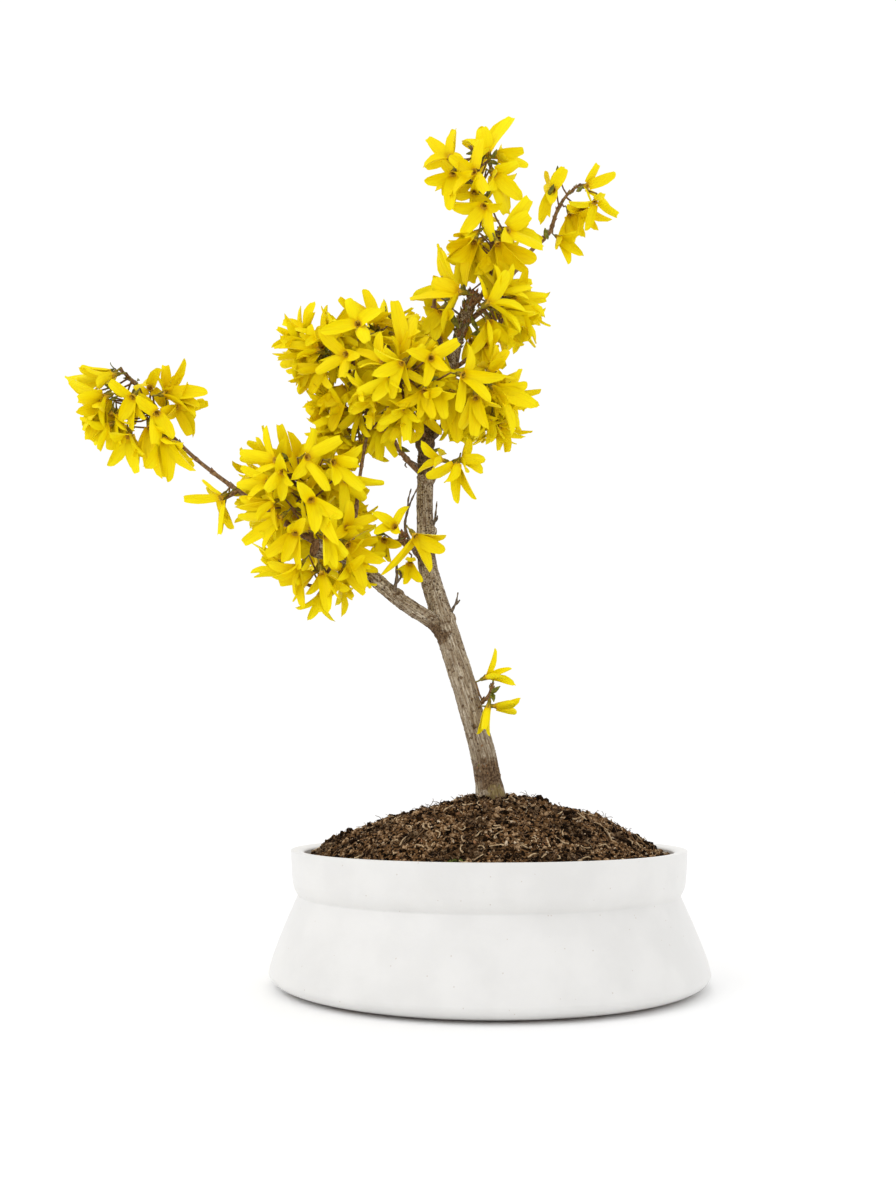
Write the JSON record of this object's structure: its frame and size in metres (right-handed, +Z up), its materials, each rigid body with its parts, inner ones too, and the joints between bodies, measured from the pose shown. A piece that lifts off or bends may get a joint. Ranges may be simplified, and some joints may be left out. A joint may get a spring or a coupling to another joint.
{
  "type": "forsythia bonsai tree",
  "caption": "Spring-flowering miniature tree with a leaning trunk, a low side bough, thin shoots and loose yellow blossom, in a shallow flared white ceramic pot of soil.",
  "frame": {"origin": "centre of the pot's flat underside", "axes": "+Z up along the pot's axis, -Y toward the front of the plant, +X to the right seen from the front, with the low bough and its shoot reaching toward -X"},
  "size_m": [0.3553, 0.24, 0.508],
  "materials": {
    "glaze": "satin",
    "soil": "matte",
    "bark": "matte",
    "young_bark": "matte",
    "blossom": "matte"
  },
  "bodies": {
    "root": {"pot": "glaze", "soil": "soil", "trunk": "bark", "left_bough": "bark", "knot_stub": "bark", "left_shoot": "young_bark", "riser_shoot": "young_bark", "centre_left_shoot": "young_bark", "right_low_shoot": "young_bark", "centre_front_shoot": "young_bark", "centre_back_shoot": "young_bark", "centre_top_shoot": "young_bark", "upper_left_shoot": "young_bark", "upper_right_shoot": "young_bark", "top_shoot": "young_bark", "right_top_shoot": "young_bark", "left_tip_blossom": "blossom", "left_spray_blossom": "blossom", "left_top_blossom": "blossom", "left_bottom_blossom": "blossom", "left_back_blossom": "blossom", "knot_spray_blossom": "blossom", "centre_low_blossom": "blossom", "centre_left_blossom": "blossom", "centre_top_blossom": "blossom", "centre_front_blossom": "blossom", "centre_right_blossom": "blossom", "centre_back_blossom": "blossom", "right_low_blossom": "blossom", "upper_left_blossom": "blossom", "upper_mid_blossom": "blossom", "upper_right_blossom": "blossom", "top_blossom": "blossom", "right_top_blossom": "blossom", "trunk_sprout_blossom": "blossom"}
  },
  "joints": []
}
